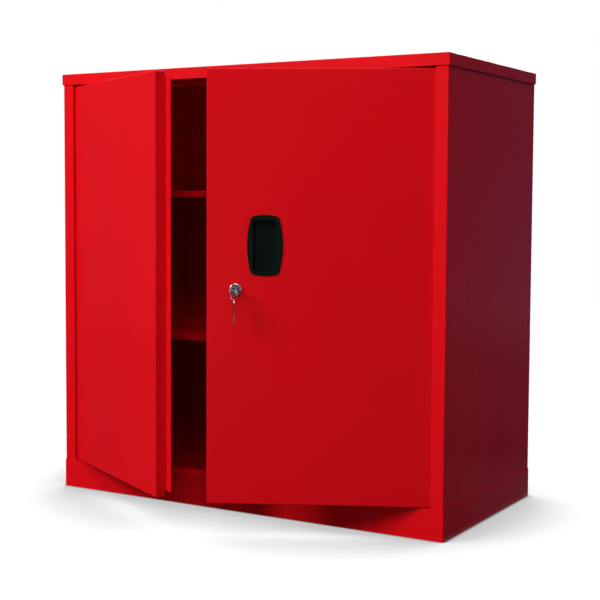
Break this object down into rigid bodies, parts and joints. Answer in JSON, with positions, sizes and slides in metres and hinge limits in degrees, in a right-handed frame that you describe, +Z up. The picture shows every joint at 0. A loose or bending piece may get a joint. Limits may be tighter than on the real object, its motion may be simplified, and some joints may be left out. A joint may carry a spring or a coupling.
{
  "type": "chemical storage cabinet",
  "caption": "Low steel storage cabinet with paired doors, hook-in tray shelves on slotted uprights, a flush moulded handle and a key lock that drives rods up and down.",
  "frame": {"origin": "middle of the cabinet's footprint, on the floor", "axes": "+Z up, -Y out of the front where the doors are, +X to the right as seen from the front"},
  "size_m": [0.915, 0.6562, 0.907],
  "materials": {
    "red_paint": "semi-gloss red powder coat on folded steel sheet",
    "plated_steel": "zinc or nickel plated steel",
    "chrome": "polished chrome plate",
    "black_moulding": "black moulded plastic, low gloss",
    "buffer_rubber": "matt black rubber",
    "nylon": "natural nylon"
  },
  "bodies": {
    "cabinet": {"plinth": "red_paint", "floor_pan": "red_paint", "left_side_panel": "red_paint", "right_side_panel": "red_paint", "back_panel": "red_paint", "top_cap": "red_paint", "header_rail": "red_paint", "sill_rail": "red_paint", "left_uprights": "red_paint", "right_uprights": "red_paint", "upper_shelf": "red_paint", "lower_shelf": "red_paint", "upper_shelf_hangers": "red_paint", "lower_shelf_hangers": "red_paint", "top_pivot_brackets": "red_paint", "bottom_pivot_plates": "red_paint", "pivot_pins": "red_paint", "door_buffers": "buffer_rubber"},
    "left_door": {"left_door_panel": "red_paint", "left_door_stiffener": "red_paint", "left_meeting_strip": "red_paint", "left_door_bushes": "black_moulding"},
    "right_door": {"right_door_panel": "red_paint", "right_door_stiffener": "red_paint", "right_door_bushes": "black_moulding", "lock_stiffener": "red_paint", "handle_cup": "black_moulding", "lock_body": "chrome", "lock_nut": "plated_steel", "rod_guides": "nylon", "guide_screws": "plated_steel"},
    "lock_cylinder": {"lock_barrel": "plated_steel", "lock_cam": "plated_steel", "cam_screw": "plated_steel"},
    "upper_rod": {"upper_rod": "plated_steel"},
    "lower_rod": {"lower_rod": "plated_steel"},
    "key": {"key": "plated_steel"},
    "key_ring": {"key_ring": "plated_steel", "spare_key": "plated_steel"}
  },
  "joints": [
    {"name": "left_door_hinge", "type": "hinge", "parent": "cabinet", "child": "left_door", "pos_m": [-0.4165, -0.219, 0], "axis": [0, 0, -1], "range_deg": [-29.3, 85.7]},
    {"name": "right_door_hinge", "type": "hinge", "parent": "cabinet", "child": "right_door", "pos_m": [0.4165, -0.219, 0], "axis": [0, 0, 1], "range_deg": [-27, 88]},
    {"name": "lock_turn", "type": "hinge", "parent": "right_door", "child": "lock_cylinder", "pos_m": [0.09847, -0.3889, 0.4686], "axis": [-0.454, 0.891, 0], "range_deg": [-20, 70]},
    {"name": "upper_rod_slide", "type": "slide", "parent": "right_door", "child": "upper_rod", "axis": [0, 0, 1], "range_m": [-0.005, 0.0172]},
    {"name": "lower_rod_slide", "type": "slide", "parent": "right_door", "child": "lower_rod", "axis": [0, 0, -1], "range_m": [-0.005, 0.0172]},
    {"name": "key_slide", "type": "slide", "parent": "lock_cylinder", "child": "key", "axis": [0.454, -0.891, 0], "range_m": [0, 0.03]},
    {"name": "key_ring_swing", "type": "hinge", "parent": "key", "child": "key_ring", "pos_m": [0.10973, -0.411, 0.4686], "axis": [0.891, 0.454, 0], "range_deg": [-25, 15]}
  ],
  "couplings": [
    {"joint": "upper_rod_slide", "follows": "lock_turn", "m_per_rad": 0.01395},
    {"joint": "lower_rod_slide", "follows": "lock_turn", "m_per_rad": 0.01395}
  ]
}
